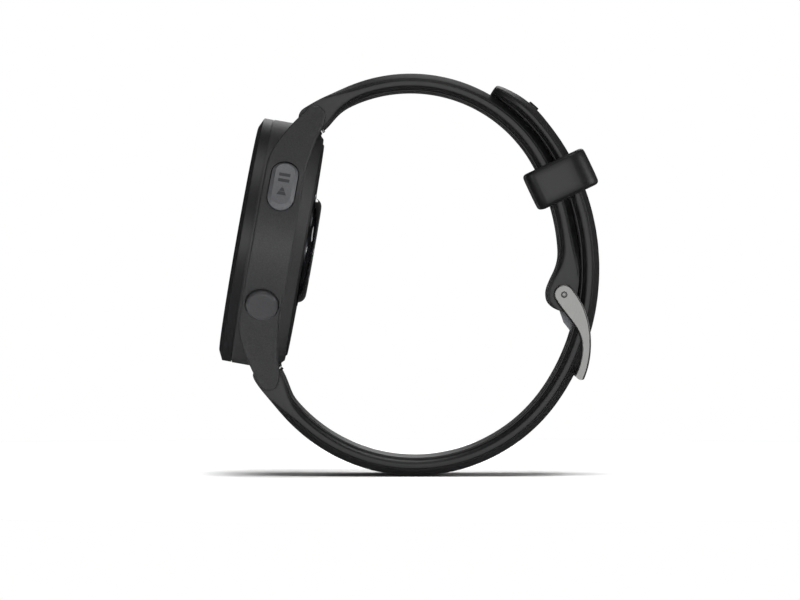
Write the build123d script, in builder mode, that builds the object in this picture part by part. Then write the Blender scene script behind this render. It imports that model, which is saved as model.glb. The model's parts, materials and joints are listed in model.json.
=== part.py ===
"""GPS running watch on a buckled silicone strap, millimetres.

+Z is up, +X runs from the case towards the buckle, and the buttons named start and lap look
along -Y. The origin is the middle of the wrist opening. The case leans back by case_tilt.
"""
import os
from math import cos, radians, sin

from build123d import *

os.makedirs("parts", exist_ok=True)

# ---- driving dimensions -------------------------------------------------------------------
case_tilt = 10.0            # lean of the case from upright, degrees
face_x, face_z = -32.45, 6.72   # centre of the front face
case_radius = 23.1          # round body
band_radius = 23.45         # side band that carries the lugs
bore_radius = 19.2          # inside of the case
back_seat_radius = 20.5     # recess for the back cover
bezel_radius = 23.05
face_flat_radius = 21.3     # flat front ring inside the bezel's bevel
lens_seat_radius = 20.0
case_front, case_back = 2.5, 12.4   # depths behind the front face
cover_back = 12.7
bar_reach, bar_depth = 24.85, 10.2  # spring bars: distance from the case centre, depth
lug_gap = 22.3              # between the lugs
lug_outer = 13.8            # half width over the lugs just past their tips
lug_tip_radius = 1.95
strap_width = 22.0
strap_thickness = 3.42
strap_gap = 0.25            # clearance between the two strap halves
button_depth = 6.75
button_travel = 0.5
button_angles = {"start": 28.5, "lap": -28.5, "light": 150, "up": 180, "down": 210}
screw_reach = 18.5
screw_angles = (45, 135, 225, 315)
fit_gap = 0.05              # sliding and rotating fits, per side

# The strap's arcs in the X-Z plane: centre and radius of the inner face, and the angles where
# one arc runs tangent into the next
top_centre, top_radius = (-0.27, 7.80), 26.31       # upper strap over the top
side_radius, blend_angle = 38.07, 29.7              # upper strap down the buckle side
tail_centre, tail_radius = (-8.60, 1.04), 40.14     # lower strap on the buckle side
foot_radius, foot_blend = 29.27, -32.7              # lower strap round the bottom
buckle_pivot = (28.25, -3.70)
keeper_centre = (27.87, 17.83)
keeper_angle = 25.4
hole_pitch_angle = 8.2      # along the tail, degrees about tail_centre
tongue_hole_angle = -17.0

# ---- frames -------------------------------------------------------------------------------
face_normal = Vector(-cos(radians(case_tilt)), 0, sin(radians(case_tilt)))
twelve = Vector(sin(radians(case_tilt)), 0, cos(radians(case_tilt)))
three = Vector(0, -1, 0)
face_centre = Vector(face_x, 0, face_z)
case_axis = Axis(face_centre, face_normal)
half_plane = Plane(origin=face_centre, x_dir=three, z_dir=-twelve)   # x = radius, y = height
side = Plane.XZ                                                      # x = X, y = Z


def case_plane(depth):
    """Parallel to the face: x to 3 o'clock, y to 12 o'clock, z out of the face."""
    return Plane(origin=face_centre - face_normal * depth, x_dir=three, z_dir=face_normal)


def profile_plane(offset=0.0):
    """Seen from 3 o'clock: x to 12 o'clock, y out of the face, at a distance from the middle."""
    return Plane(origin=face_centre + three * offset, x_dir=twelve, z_dir=three)


def radial_plane(angle, radius, depth=button_depth):
    """Facing outwards at a clock angle counted from 3 o'clock towards 12."""
    out = three * cos(radians(angle)) + twelve * sin(radians(angle))
    along = twelve * cos(radians(angle)) - three * sin(radians(angle))
    origin = face_centre + out * radius - face_normal * depth
    return Plane(origin=origin, x_dir=along, z_dir=out)


def polar(centre, radius, angle):
    """A point in the X-Z plane."""
    return (centre[0] + radius * cos(radians(angle)), centre[1] + radius * sin(radians(angle)))


def case_point(reach, depth):
    """X and Z of a point given along 12 o'clock and behind the face."""
    point = face_centre + twelve * reach - face_normal * depth
    return (point.X, point.Z)


def arc(centre, radius, start, end):
    """An arc about a centre from one angle to another."""
    ThreePointArc(polar(centre, radius, start), polar(centre, radius, (start + end) / 2),
                  polar(centre, radius, end))


def lever_plane(bar, lever_side, along):
    """Facing along the lever, from the bar towards the inside of the wrist opening."""
    out = twelve * (-0.83 * lever_side) - face_normal * 0.56
    return Plane(origin=Vector(bar[0], along, bar[1]), x_dir=(0, 1, 0), z_dir=out)


def save(piece, name):
    """Label a finished sub-part and write it to its own STEP file."""
    piece.part.label = name
    export_step(piece.part, f"parts/{name}.step")


upper_bar = case_point(bar_reach, bar_depth)
lower_bar = case_point(-bar_reach, bar_depth)
side_centre = polar(top_centre, top_radius - side_radius, blend_angle)
foot_centre = polar(tail_centre, tail_radius - foot_radius, foot_blend)

# ---- main case ----------------------------------------------------------------------------
lug_root_angle = 34.0       # where a lug's outer face leaves the round band
lug_tip_reach = bar_reach + lug_tip_radius
band_front = 3.0            # depth of the band's front edge
# Edges of the band and lugs seen from the side: distance from the middle, height
lug_front_angle = 55.2      # where the front edge meets the round tip
lug_front_edge = ((14.0, -band_front), (19.3, -4.4), (23.1, -6.6),
                  polar((bar_reach, -bar_depth), lug_tip_radius, lug_front_angle))
lug_back_edge = ((bar_reach, -bar_depth - lug_tip_radius), (23.5, -12.08), (21.1, -11.4),
                 (18.8, -10.95), (14.5, -10.35), (9.5, -10.35), (0, -10.7))
lug_flare = 0.4             # slope of a lug's outer face at its tip
band_round = 0.4            # soft outer edges of the band
groove_back = 2.7           # thin groove between bezel and case
button_pocket_floor = 21.5
stem_radius = 1.0
boss_front = 6.0
relief_radius = 3.35        # room for the strap ends behind the round body

with BuildPart() as main_case:
    with BuildSketch(case_plane(case_back)):
        Circle(band_radius)
        for mirror_x in (1, -1):
            for mirror_y in (1, -1):
                across_root = mirror_x * cos(radians(lug_root_angle))
                up_root = mirror_y * sin(radians(lug_root_angle))
                root = (band_radius * across_root, band_radius * up_root)
                tip = (mirror_x * lug_outer, mirror_y * (lug_tip_reach + 1))
                with BuildLine():
                    Polyline(root, (0, 0), (0, tip[1]), tip)
                    Spline(tip, root, tangents=[(mirror_x * lug_flare, -mirror_y),
                                                (mirror_x * abs(up_root), -mirror_y * abs(across_root))])
                make_face()
    extrude(amount=case_back - band_front)
    with BuildSketch(profile_plane()):
        with BuildLine():
            Line((0, -band_front), lug_front_edge[0])
            Spline(*lug_front_edge, tangents=[(1, 0), (0.82, -0.572)])
            CenterArc((bar_reach, -bar_depth), lug_tip_radius, lug_front_angle, -90 - lug_front_angle)
            Spline(*lug_back_edge, tangents=[(-1, 0), (-1, 0)])
            mirror(about=Plane.YZ)
        make_face()
    extrude(amount=case_radius + 4, both=True, mode=Mode.INTERSECT)
    soft = [edge for edge in main_case.edges()
            if abs(edge.center().Y) > lug_gap / 2 and abs((edge % 0.5).dot(face_normal)) < 0.9]
    fillet(soft, band_round)
    with BuildSketch(case_plane(case_back + 1)):
        Rectangle(lug_gap, 2 * lug_tip_reach + 4)
    extrude(amount=case_back + 1, mode=Mode.SUBTRACT)
    with BuildSketch(half_plane):
        with BuildLine():
            Polyline((0, -case_front), (22.75, -case_front), (22.75, -groove_back),
                     (case_radius, -groove_back), (case_radius, -10.5), (21.05, -case_back),
                     (0, -case_back), close=True)
        make_face()
    revolve(axis=case_axis)
    for bar_side in (1, -1):
        with BuildSketch(profile_plane()):
            with Locations((bar_side * bar_reach, -bar_depth)):
                Circle(relief_radius)
        extrude(amount=lug_gap / 2, both=True, mode=Mode.SUBTRACT)
        with BuildSketch(profile_plane()):
            with Locations((bar_side * bar_reach, -bar_depth)):
                Circle(0.45)
        extrude(amount=lug_gap / 2 + 1.3, both=True, mode=Mode.SUBTRACT)
    with BuildSketch(case_plane(case_back + 1)):
        Circle(bore_radius)
        with PolarLocations(screw_reach, 4, start_angle=screw_angles[0]):
            Circle(1.5, mode=Mode.SUBTRACT)
    extrude(amount=case_back + 1 - boss_front, mode=Mode.SUBTRACT)
    with BuildSketch(case_plane(boss_front)):
        Circle(bore_radius)
    extrude(amount=boss_front, mode=Mode.SUBTRACT)
    with BuildSketch(case_plane(case_back + 1)):
        Circle(back_seat_radius)
    extrude(amount=case_back + 1 - 10.7, mode=Mode.SUBTRACT)
    with BuildSketch(case_plane(10.7)):
        with PolarLocations(screw_reach, 4, start_angle=screw_angles[0]):
            Circle(0.6)
    extrude(amount=2.4, mode=Mode.SUBTRACT)
    for name, angle in button_angles.items():
        with BuildSketch(radial_plane(angle, button_pocket_floor)):
            if name == "start":
                SlotOverall(10.3, 5.3)
            else:
                Circle(3.2)
        extrude(amount=4, mode=Mode.SUBTRACT)
        with BuildSketch(radial_plane(angle, button_pocket_floor + 0.1)):
            Circle(stem_radius + fit_gap)
        extrude(amount=-4, mode=Mode.SUBTRACT)
        with BuildSketch(radial_plane(angle, 20.7)):
            Circle(1.8)
        extrude(amount=-3, mode=Mode.SUBTRACT)
        with BuildSketch(radial_plane(angle, 19.85)):
            Circle(2.3)
        extrude(amount=-2, mode=Mode.SUBTRACT)
save(main_case, "main_case")

# ---- front glass, bezel and display -------------------------------------------------------
with BuildPart() as bezel:
    with BuildSketch(half_plane):
        with BuildLine():
            Polyline((lens_seat_radius, 0), (face_flat_radius, 0), (bezel_radius, -0.84),
                     (bezel_radius, -case_front), (18.6, -case_front), (18.6, -1.3),
                     (lens_seat_radius, -1.3), close=True)
        make_face()
    revolve(axis=case_axis)
save(bezel, "bezel")

with BuildPart() as crystal:
    with BuildSketch(case_plane(1.05)):
        Circle(lens_seat_radius - fit_gap)
    extrude(amount=1.0)
    chamfer(crystal.faces().sort_by(case_axis)[-1].edges(), 0.15)
save(crystal, "crystal")

with BuildPart() as crystal_gasket:
    with BuildSketch(case_plane(1.3)):
        Circle(19.9)
        Circle(18.7, mode=Mode.SUBTRACT)
    extrude(amount=0.25)
save(crystal_gasket, "crystal_gasket")

with BuildPart() as display_panel:
    with BuildSketch(case_plane(2.3)):
        Circle(17.6)
    extrude(amount=1.25)
save(display_panel, "display_panel")

with BuildPart() as display_frame:
    with BuildSketch(case_plane(2.3)):
        Circle(18.5)
        Circle(17.65, mode=Mode.SUBTRACT)
    extrude(amount=1.25)
save(display_frame, "display_frame")

with BuildPart() as display_flex:
    with BuildSketch(profile_plane()):
        with BuildLine():
            Polyline((-12.0, -2.3), (-16.9, -2.3), (-16.9, -4.4), (-12.5, -4.4), (-12.5, -4.2),
                     (-16.7, -4.2), (-16.7, -2.5), (-12.0, -2.5), close=True)
        make_face()
    extrude(amount=3, both=True)
save(display_flex, "display_flex")

# ---- electronics --------------------------------------------------------------------------
with BuildPart() as gps_antenna:
    with BuildSketch(case_plane(3.3)):
        with BuildLine():
            CenterArc((0, 0), 18.9, -60, 300)
            Line((18.9 * cos(radians(240)), 18.9 * sin(radians(240))),
                 (17.7 * cos(radians(240)), 17.7 * sin(radians(240))))
            CenterArc((0, 0), 17.7, -60, 300)
            Line((17.7 * cos(radians(-60)), 17.7 * sin(radians(-60))),
                 (18.9 * cos(radians(-60)), 18.9 * sin(radians(-60))))
        make_face()
    extrude(amount=0.6)
save(gps_antenna, "gps_antenna")

board_back = 4.2
with BuildPart() as main_board:
    with BuildSketch(case_plane(board_back)):
        Circle(16.2)
        with Locations((0, 16.2)):
            Rectangle(6, 3, mode=Mode.SUBTRACT)
    extrude(amount=0.8)
save(main_board, "main_board")

with BuildPart() as shield_cans:
    for centre, width, height in (((-6.5, 3), 12, 10), ((6.5, -1.5), 10, 9)):
        with BuildSketch(case_plane(board_back + 1.1)):
            with Locations(centre):
                Rectangle(width, height)
        extrude(amount=1.1)
        with BuildSketch(case_plane(board_back + 0.95)):
            with Locations(centre):
                Rectangle(width - 0.3, height - 0.3)
        extrude(amount=0.95, mode=Mode.SUBTRACT)
save(shield_cans, "shield_cans")

battery_spot, battery_size = (-3.0, 0.0), (18.0, 19.0)
motor_spot = (11.2, 0.0)
with BuildPart() as battery_tray:
    with BuildSketch(case_plane(9.4)):
        Circle(16.7)
    extrude(amount=4.0)
    with BuildSketch(case_plane(9.4)):
        with Locations(battery_spot):
            Rectangle(battery_size[0] + 0.3, battery_size[1] + 0.3)
        with Locations(motor_spot):
            Circle(4.15)
    extrude(amount=3.6, mode=Mode.SUBTRACT)
save(battery_tray, "battery_tray")

with BuildPart() as battery:
    with BuildSketch(case_plane(9.3)):
        with Locations(battery_spot):
            RectangleRounded(battery_size[0], battery_size[1], 1.5)
    extrude(amount=3.4)
save(battery, "battery")

with BuildPart() as motor_housing:
    with BuildSketch(case_plane(8.8)):
        with Locations(motor_spot):
            Circle(4.0)
    extrude(amount=2.8)
    with BuildSketch(case_plane(8.5)):
        with Locations(motor_spot):
            Circle(3.7)
    extrude(amount=2.2, mode=Mode.SUBTRACT)
    with BuildSketch(case_plane(8.6)):
        with Locations(motor_spot):
            Circle(0.4)
    extrude(amount=2.4)
save(motor_housing, "motor_housing")

with BuildPart() as motor_rotor:
    with BuildSketch(case_plane(8.2)):
        with Locations(motor_spot):
            Circle(3.4)
            Rectangle(7, 7, align=(Align.CENTER, Align.MIN), mode=Mode.SUBTRACT)
            Circle(1.0)
            Circle(0.4 + fit_gap, mode=Mode.SUBTRACT)
    extrude(amount=1.6)
save(motor_rotor, "motor_rotor")

with BuildPart() as buzzer_disc:
    with BuildSketch(case_plane(9.85)):
        with Locations(battery_spot):
            Circle(6.0)
    extrude(amount=0.4)
save(buzzer_disc, "buzzer_disc")

with BuildPart() as side_switches:
    for angle in button_angles.values():
        with BuildSketch(radial_plane(angle, 16.9)):
            Rectangle(3.2, 2.6)
        extrude(amount=1.1)
        with BuildSketch(radial_plane(angle, 18.0)):
            Circle(0.9)
        extrude(amount=0.2)
save(side_switches, "side_switches")

# ---- back cover and heart-rate sensor -----------------------------------------------------
sensor_bore = 9.3
port_spot = (0.0, -14.6)
vent_spot = (-11.0, -10.5)
with BuildPart() as back_cover:
    with BuildSketch(half_plane):
        with BuildLine():
            Polyline((sensor_bore, -10.95), (20.4, -10.95), (20.4, -12.2), (19.95, -cover_back),
                     (10.65, -cover_back), (10.65, -12.4), (sensor_bore, -12.4), close=True)
        make_face()
    revolve(axis=case_axis)
    with BuildSketch(case_plane(cover_back)):
        with PolarLocations(screw_reach, 4, start_angle=screw_angles[0]):
            Circle(1.2)
    extrude(amount=1.0, mode=Mode.SUBTRACT)
    with BuildSketch(case_plane(cover_back)):
        with PolarLocations(screw_reach, 4, start_angle=screw_angles[0]):
            Circle(0.65)
        with Locations(port_spot):
            RectangleRounded(8.1, 3.3, 0.8)
        with Locations(vent_spot):
            Circle(0.8)
    extrude(amount=2.0, mode=Mode.SUBTRACT)
    with BuildSketch(case_plane(cover_back)):
        with Locations(vent_spot):
            Circle(1.45)
    extrude(amount=0.3, mode=Mode.SUBTRACT)
save(back_cover, "back_cover")

with BuildPart() as back_gasket:
    with BuildSketch(case_plane(10.95)):
        Circle(20.3)
        Circle(19.35, mode=Mode.SUBTRACT)
        with PolarLocations(screw_reach, 4, start_angle=screw_angles[0]):
            Circle(1.25, mode=Mode.SUBTRACT)
    extrude(amount=0.25)
save(back_gasket, "back_gasket")

with BuildPart() as back_screws:
    with BuildSketch(case_plane(12.5)):
        with PolarLocations(screw_reach, 4, start_angle=screw_angles[0]):
            Circle(1.1)
            RegularPolygon(0.45, 6, mode=Mode.SUBTRACT)
    extrude(amount=0.8)
    with BuildSketch(case_plane(12.0)):
        with PolarLocations(screw_reach, 4, start_angle=screw_angles[0]):
            Circle(0.6)
    extrude(amount=3.4)
save(back_screws, "back_screws")

with BuildPart() as pressure_vent:
    with BuildSketch(case_plane(cover_back)):
        with Locations(vent_spot):
            Circle(1.4)
            with GridLocations(0.8, 0.8, 2, 2):
                Circle(0.18, mode=Mode.SUBTRACT)
    extrude(amount=0.3)
save(pressure_vent, "pressure_vent")

with BuildPart() as charging_port:
    with BuildSketch(case_plane(12.6)):
        with Locations(port_spot):
            RectangleRounded(8.0, 3.2, 0.75)
    extrude(amount=1.7)
    with BuildSketch(case_plane(12.6)):
        with Locations(port_spot):
            RectangleRounded(6.8, 2.0, 0.5)
    extrude(amount=1.2, mode=Mode.SUBTRACT)
    with BuildSketch(case_plane(12.6)):
        with Locations(port_spot):
            with GridLocations(1.5, 1, 4, 1):
                Circle(0.36)
    extrude(amount=3.0, mode=Mode.SUBTRACT)
save(charging_port, "charging_port")

with BuildPart() as charging_pins:
    with BuildSketch(case_plane(12.1)):
        with Locations(port_spot):
            with GridLocations(1.5, 1, 4, 1):
                Circle(0.35)
    extrude(amount=1.6)
save(charging_pins, "charging_pins")

with BuildPart() as sensor_ring:
    with BuildSketch(case_plane(12.95)):
        Circle(10.6)
        Circle(9.95, mode=Mode.SUBTRACT)
    extrude(amount=0.55)
save(sensor_ring, "sensor_ring")

with BuildPart() as sensor_window:
    with BuildSketch(half_plane):
        with BuildLine():
            Polyline((0, -11.6), (sensor_bore - fit_gap, -11.6), (sensor_bore - fit_gap, -12.4),
                     (9.9, -12.4))
            Line((9.9, -12.4), (9.9, -13.0))
            ThreePointArc((9.9, -13.0), (9.35, -13.85), (8.1, -14.2))
            Line((8.1, -14.2), (0, -14.2))
            Line((0, -14.2), (0, -11.6))
        make_face()
    revolve(axis=case_axis)
save(sensor_window, "sensor_window")

with BuildPart() as sensor_board:
    with BuildSketch(case_plane(10.7)):
        Circle(9.0)
    extrude(amount=0.6)
save(sensor_board, "sensor_board")

with BuildPart() as sensor_leds:
    with BuildSketch(case_plane(11.3)):
        Rectangle(1.6, 1.6)
        with GridLocations(4.2, 4.2, 2, 2):
            Rectangle(1.2, 1.2)
    extrude(amount=0.6)
save(sensor_leds, "sensor_leds")

with BuildPart() as photodiodes:
    with BuildSketch(case_plane(11.2)):
        with PolarLocations(6.0, 4, start_angle=0):
            Rectangle(2.0, 2.6)
    extrude(amount=0.5)
save(photodiodes, "photodiodes")

# ---- buttons ------------------------------------------------------------------------------
cap_back = button_pocket_floor + button_travel + 0.1
stem_end = 18.85
groove_out, groove_in = 19.78, 19.46    # radii of the clip groove's two faces


def button(name, angle):
    """A cap with its stem and clip groove. The start cap is a long one that follows the case."""
    with BuildPart() as cap:
        with BuildSketch(radial_plane(angle, cap_back)):
            if name == "start":
                SlotOverall(9.9, 4.9)
            else:
                Circle(3.0)
        extrude(amount=3)
        cap_reach = 24.35 if name == "start" else 24.55
        with BuildSketch(case_plane(case_back)):
            Circle(cap_reach)
        extrude(amount=case_back, mode=Mode.INTERSECT)
        top = cap.faces().sort_by(radial_axis(angle))[-1]
        if name == "start":
            chamfer(top.edges(), 0.7)
        else:
            fillet(top.edges(), 0.8)
        with BuildSketch(radial_plane(angle, cap_back)):
            Circle(stem_radius)
        extrude(amount=stem_end - cap_back)
        with BuildSketch(radial_plane(angle, groove_out)):
            Circle(stem_radius + 0.2)
            Circle(0.7, mode=Mode.SUBTRACT)
        extrude(amount=groove_in - groove_out, mode=Mode.SUBTRACT)
    return cap


def radial_axis(angle):
    plane = radial_plane(angle, 0)
    return Axis(plane.origin, plane.z_dir)


def retaining_clip(angle):
    """An open ring in the stem's groove."""
    with BuildPart() as clip:
        with BuildSketch(radial_plane(angle, groove_out - 0.01)):
            Circle(1.9)
            Circle(0.71, mode=Mode.SUBTRACT)
            with Locations((0, -1)):
                Rectangle(1.1, 2, mode=Mode.SUBTRACT)
        extrude(amount=groove_in - groove_out + 0.02)
    return clip


for name, angle in button_angles.items():
    save(button(name, angle), f"{name}_button")
    save(retaining_clip(angle), f"{name}_button_clip")

with BuildPart() as button_seals:
    for angle in button_angles.values():
        with BuildSketch(radial_plane(angle, 20.65)):
            Circle(1.78)
            Circle(stem_radius + 0.02, mode=Mode.SUBTRACT)
        extrude(amount=-0.75)
save(button_seals, "button_seals")

# ---- straps -------------------------------------------------------------------------------
end_radius = 3.15           # strap ends round the spring bars and the buckle pin
bar_radius = 0.75
bore_clearance = 0.1
lever_slot_middle = -6.8    # along Y
outer_top = top_radius + strap_thickness
outer_side = side_radius + strap_thickness

with BuildPart() as upper_strap:
    with BuildSketch(side):
        with BuildLine():
            outer_end = polar(side_centre, outer_side, -11.3)
            arc(top_centre, outer_top, 117.7, blend_angle)
            arc(side_centre, outer_side, blend_angle, -11.3)
            ThreePointArc(outer_end, polar(buckle_pivot, end_radius, -110),
                          polar(buckle_pivot, end_radius, 160))
            Line(polar(buckle_pivot, end_radius, 160), (26.28, -0.41))
            ThreePointArc((26.28, -0.41), (27.28, 1.90), polar(side_centre, side_radius, 3.2))
            arc(side_centre, side_radius, 3.2, blend_angle)
            arc(top_centre, top_radius, blend_angle, 117.7)
            ThreePointArc(polar(top_centre, top_radius, 117.7), (-13.45, 30.43), (-14.23, 29.62))
            Line((-14.23, 29.62), polar(upper_bar, end_radius, -66))
            ThreePointArc(polar(upper_bar, end_radius, -66), polar(upper_bar, end_radius, -120),
                          polar(upper_bar, end_radius, -182))
            Polyline(polar(upper_bar, end_radius, -182), (-20.6, 30.75), (-17.44, 32.62),
                     polar(top_centre, outer_top, 117.7))
        make_face()
        with Locations(upper_bar):
            Circle(bar_radius + bore_clearance, mode=Mode.SUBTRACT)
        with Locations(buckle_pivot):
            Circle(0.85, mode=Mode.SUBTRACT)
    extrude(amount=strap_width / 2, both=True)
    # slot for the tongue
    with BuildSketch(side):
        with Locations((buckle_pivot[0] - 0.2, buckle_pivot[1] - 1.9)):
            Rectangle(8.4, 8.0)
    extrude(amount=1.7, both=True, mode=Mode.SUBTRACT)
    with BuildSketch(lever_plane(upper_bar, 1, lever_slot_middle)):
        Rectangle(3.3, 1.7)
    extrude(amount=end_radius + 1, mode=Mode.SUBTRACT)
save(upper_strap, "upper_strap")

tail_outer = tail_radius + strap_thickness
foot_outer = foot_radius + strap_thickness
tip_angle = 60.0            # end of the tail, about top_centre
with BuildPart() as lower_strap:
    with BuildSketch(side):
        with BuildLine():
            follow = outer_top + strap_gap
            tail_inner = polar(tail_centre, tail_radius, 18)
            tail_shoulder = polar(tail_centre, tail_outer, 40)
            tip_inner = polar(top_centre, follow, tip_angle)
            tip_outer = polar(top_centre, follow + 1.9, tip_angle)
            arc(foot_centre, foot_outer, -143, foot_blend)
            arc(tail_centre, tail_outer, foot_blend, 40)
            ThreePointArc(tail_shoulder, polar(top_centre, follow + 2.75, 51), tip_outer)
            Line(tip_outer, tip_inner)
            ThreePointArc(tip_inner, polar(top_centre, follow, 36), tail_inner)
            arc(tail_centre, tail_radius, 18, foot_blend)
            arc(foot_centre, foot_radius, foot_blend, -142)
            Polyline(polar(foot_centre, foot_radius, -142),
                     (-23.52, -19.93), polar(lower_bar, end_radius, 58))
            ThreePointArc(polar(lower_bar, end_radius, 58), polar(lower_bar, end_radius, 110),
                          polar(lower_bar, end_radius, 164))
            Polyline(polar(lower_bar, end_radius, 164), (-29.3, -19.93), (-28.17, -21.44),
                     polar(foot_centre, foot_outer, -143))
        make_face()
        with Locations(lower_bar):
            Circle(bar_radius + bore_clearance, mode=Mode.SUBTRACT)
    extrude(amount=strap_width / 2, both=True)
    for index in range(-1, 7):
        angle = tongue_hole_angle + hole_pitch_angle * index
        spot = polar(tail_centre, tail_radius - 1, angle)
        length, corner = (7.0, 0.3) if index == 0 else (2.6, 1.0)
        with BuildSketch(Plane(origin=(spot[0], 0, spot[1]), x_dir=(0, 1, 0),
                               z_dir=(cos(radians(angle)), 0, sin(radians(angle))))):
            RectangleRounded(2.9, length, corner)
        extrude(amount=strap_thickness + 3, mode=Mode.SUBTRACT)
    with BuildSketch(lever_plane(lower_bar, -1, lever_slot_middle)):
        Rectangle(3.3, 1.7)
    extrude(amount=end_radius + 1, mode=Mode.SUBTRACT)
save(lower_strap, "lower_strap")

# ---- keeper -------------------------------------------------------------------------------
keeper_height, keeper_length = 12.3, 7.4    # across the stack, along the strap
keeper_width = 26.6
keeper_plane = Plane(origin=(keeper_centre[0], 0, keeper_centre[1]),
                     x_dir=(cos(radians(keeper_angle)), 0, sin(radians(keeper_angle))),
                     z_dir=(-sin(radians(keeper_angle)), 0, cos(radians(keeper_angle))))
with BuildPart() as keeper:
    with BuildSketch(keeper_plane):
        RectangleRounded(keeper_height, keeper_width, 2.6)
        with Locations((0.05, 0)):
            RectangleRounded(8.6, strap_width + 0.8, 0.8, mode=Mode.SUBTRACT)
    extrude(amount=keeper_length / 2, both=True)
    for face in keeper.faces().filter_by(keeper_plane)[:2]:
        fillet(face.outer_wire().edges(), 0.9)
save(keeper, "keeper")

# ---- buckle -------------------------------------------------------------------------------
arm_inner, arm_outer = 11.35, 13.2
arm_round = 0.3
end_bar_angle = -25.9
end_bar_length, end_bar_half_height = 1.5, 0.6
tongue_gap, tongue_floor = 3.2, 0.35    # notch in the bar for the tongue, metal under it
end_bar = polar(tail_centre, 44.6, end_bar_angle)
end_bar_plane = Plane(origin=(end_bar[0], 0, end_bar[1]), x_dir=(0, 1, 0),
                      z_dir=(cos(radians(end_bar_angle)), 0, sin(radians(end_bar_angle))))
with BuildPart() as buckle_frame:
    with BuildSketch(side):
        with BuildLine():
            Spline((26.5, -4.45), (28.9, -7.8), (31.3, -11.8), (31.3, -15.6), (30.45, -18.2))
            ThreePointArc((30.45, -18.2), (30.75, -19.3), (31.95, -19.4))
            Spline((31.95, -19.4), (32.75, -17.0), (33.25, -12.6), (32.4, -7.2), (29.7, -2.48))
            ThreePointArc((29.7, -2.48), (27.35, -2.02), (26.5, -4.45))
        make_face()
        with Locations(buckle_pivot):
            Circle(0.75, mode=Mode.SUBTRACT)
    extrude(amount=arm_outer, both=True)
    with BuildSketch(side):
        Rectangle(200, 200)
    extrude(amount=arm_inner, both=True, mode=Mode.SUBTRACT)
    arm_faces = buckle_frame.faces().filter_by(Axis.Y).sort_by(Axis.Y)
    for face in (arm_faces[0], arm_faces[-1]):
        fillet(face.outer_wire().edges().sort_by(SortBy.LENGTH)[-2:], arm_round)
    with BuildSketch(end_bar_plane):
        RectangleRounded(2 * (arm_inner + 0.9), end_bar_length, 0.5)
        Rectangle(tongue_gap, 2 * end_bar_length, mode=Mode.SUBTRACT)
    extrude(amount=end_bar_half_height, both=True)
    with BuildSketch(end_bar_plane.offset(-end_bar_half_height)):
        Rectangle(tongue_gap + 2, end_bar_length)
    extrude(amount=tongue_floor)
save(buckle_frame, "buckle_frame")

with BuildPart() as buckle_pin:
    with BuildSketch(side):
        with Locations(buckle_pivot):
            Circle(0.75)
    extrude(amount=arm_outer, both=True)
save(buckle_pin, "buckle_pin")

tongue_width = 2.4
tongue_path = [polar(tail_centre, radius, angle) for radius, angle in
               ((38.4, -10.5), (39.2, -13.6), (44.1, -19.4), (45.15, -22.6), (45.2, -26.2))]
tongue_back = [polar(tail_centre, radius, angle) for radius, angle in
               ((44.7, -26.2), (44.6, -22.2), (43.3, -19.9), (38.4, -15.2), (37.2, -12.4))]
with BuildPart() as tongue:
    with BuildSketch(side):
        with BuildLine():
            Polyline(*tongue_path, *tongue_back, buckle_pivot, close=True)
        make_face()
        with Locations(buckle_pivot):
            Circle(1.6)
            Circle(0.82, mode=Mode.SUBTRACT)
    extrude(amount=tongue_width / 2, both=True)
save(tongue, "tongue")

# ---- quick-release spring bars --------------------------------------------------------------
bar_half_length = 10.7
tip_reach = 12.2
slot_near, slot_far = -8.0, -4.6      # lever slot in the tube, along Y


def across(bar, start):
    """Facing along +Y at a distance from the middle."""
    return Plane(origin=(bar[0], start, bar[1]), x_dir=(1, 0, 0), z_dir=(0, 1, 0))


def bar_tube(bar, lever_side):
    """The tube with its fixed tip and the slot for the lever."""
    with BuildPart() as tube:
        with BuildSketch(across(bar, -bar_half_length)):
            Circle(bar_radius)
        extrude(amount=2 * bar_half_length)
        with BuildSketch(across(bar, -bar_half_length - 1)):
            Circle(0.48)
        extrude(amount=bar_half_length + 5, mode=Mode.SUBTRACT)
        with BuildSketch(across(bar, bar_half_length)):
            Circle(0.4)
        extrude(amount=tip_reach - bar_half_length)
        with BuildSketch(lever_plane(bar, lever_side, (slot_near + slot_far) / 2)):
            Rectangle(slot_far - slot_near, 0.8)
        extrude(amount=2, mode=Mode.SUBTRACT)
    return tube


def bar_plunger(bar, lever_side):
    """The sliding tip with its lever."""
    with BuildPart() as plunger:
        with BuildSketch(across(bar, -tip_reach)):
            Circle(0.4)
        extrude(amount=tip_reach - 4.4)
        with BuildSketch(lever_plane(bar, lever_side, -7.4)):
            Circle(0.35)
        extrude(amount=3.1)
        with BuildSketch(lever_plane(bar, lever_side, -7.4).offset(2.6)):
            Circle(0.6)
        extrude(amount=0.75)
    return plunger


def bar_spring(bar):
    """A compression spring between the plunger and the tube's inner shoulder."""
    with BuildPart() as spring:
        coils = Helix(pitch=0.7, height=7.7, radius=0.34, center=(bar[0], -4.1, bar[1]),
                      direction=(0, 1, 0))
        with BuildSketch(Plane(origin=coils @ 0, z_dir=coils % 0)):
            Circle(0.12)
        sweep(path=coils)
    return spring


for name, bar, lever_side in (("upper", upper_bar, 1), ("lower", lower_bar, -1)):
    save(bar_tube(bar, lever_side), f"{name}_bar_tube")
    save(bar_plunger(bar, lever_side), f"{name}_bar_plunger")
    save(bar_spring(bar), f"{name}_bar_spring")
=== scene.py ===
import json
from math import cos, sin, radians, pi, sqrt

import bmesh
import bpy
from mathutils import Matrix, Vector
from mathutils.bvhtree import BVHTree


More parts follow.
